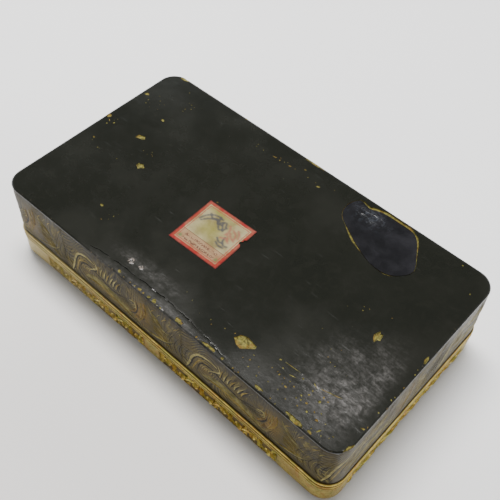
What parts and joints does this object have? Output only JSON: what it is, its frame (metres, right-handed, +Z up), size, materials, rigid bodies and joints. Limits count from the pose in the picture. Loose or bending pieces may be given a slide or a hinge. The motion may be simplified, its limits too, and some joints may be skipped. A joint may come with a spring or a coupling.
{
  "type": "lidded box",
  "caption": "Oblong lacquered box with round corners and a lift-off lid, standing upside down on its gilt lid with its black base on top.",
  "frame": {"origin": "on the table under the middle of the box, which stands upside down on its lid", "axes": "+X along the long side, +Y across the short side, +Z up, out of the black base; the lid's outer face is at z = 0"},
  "size_m": [0.1816, 0.101, 0.0438],
  "materials": {
    "gilding": "aged gilt gesso over papier-mache, satin, with dark brown in the hollows",
    "rim_gilding": "gilt moulding, satin, worn along the crest",
    "painted_lacquer": "gunmetal lacquer painted with gold and olive foliage, semi-gloss",
    "black_lacquer": "aged black lacquer, glossy, with chips to an ochre ground",
    "flake_lacquer": "smoother blue-black lacquer, glossy",
    "label_paper": "aged printed paper with a double red border",
    "liner_lacquer": "dark red lacquer, satin",
    "lining_paper": "dark red lining paper, matt"
  },
  "bodies": {
    "lid": {"lid_panel": "gilding", "lid_skirt": "gilding", "lid_rim": "rim_gilding", "lid_lining": "lining_paper"},
    "box": {"body_wall": "painted_lacquer", "body_rim": "rim_gilding", "base_board": "black_lacquer", "lacquer_flake": "flake_lacquer", "paper_label": "label_paper", "liner_front": "liner_lacquer", "liner_back": "liner_lacquer", "liner_left": "liner_lacquer", "liner_right": "liner_lacquer", "floor_lining": "lining_paper"}
  },
  "joints": [
    {"name": "box_lift", "type": "slide", "parent": "lid", "child": "box", "axis": [0, 0, 1], "range_m": [0, 0.06]}
  ]
}
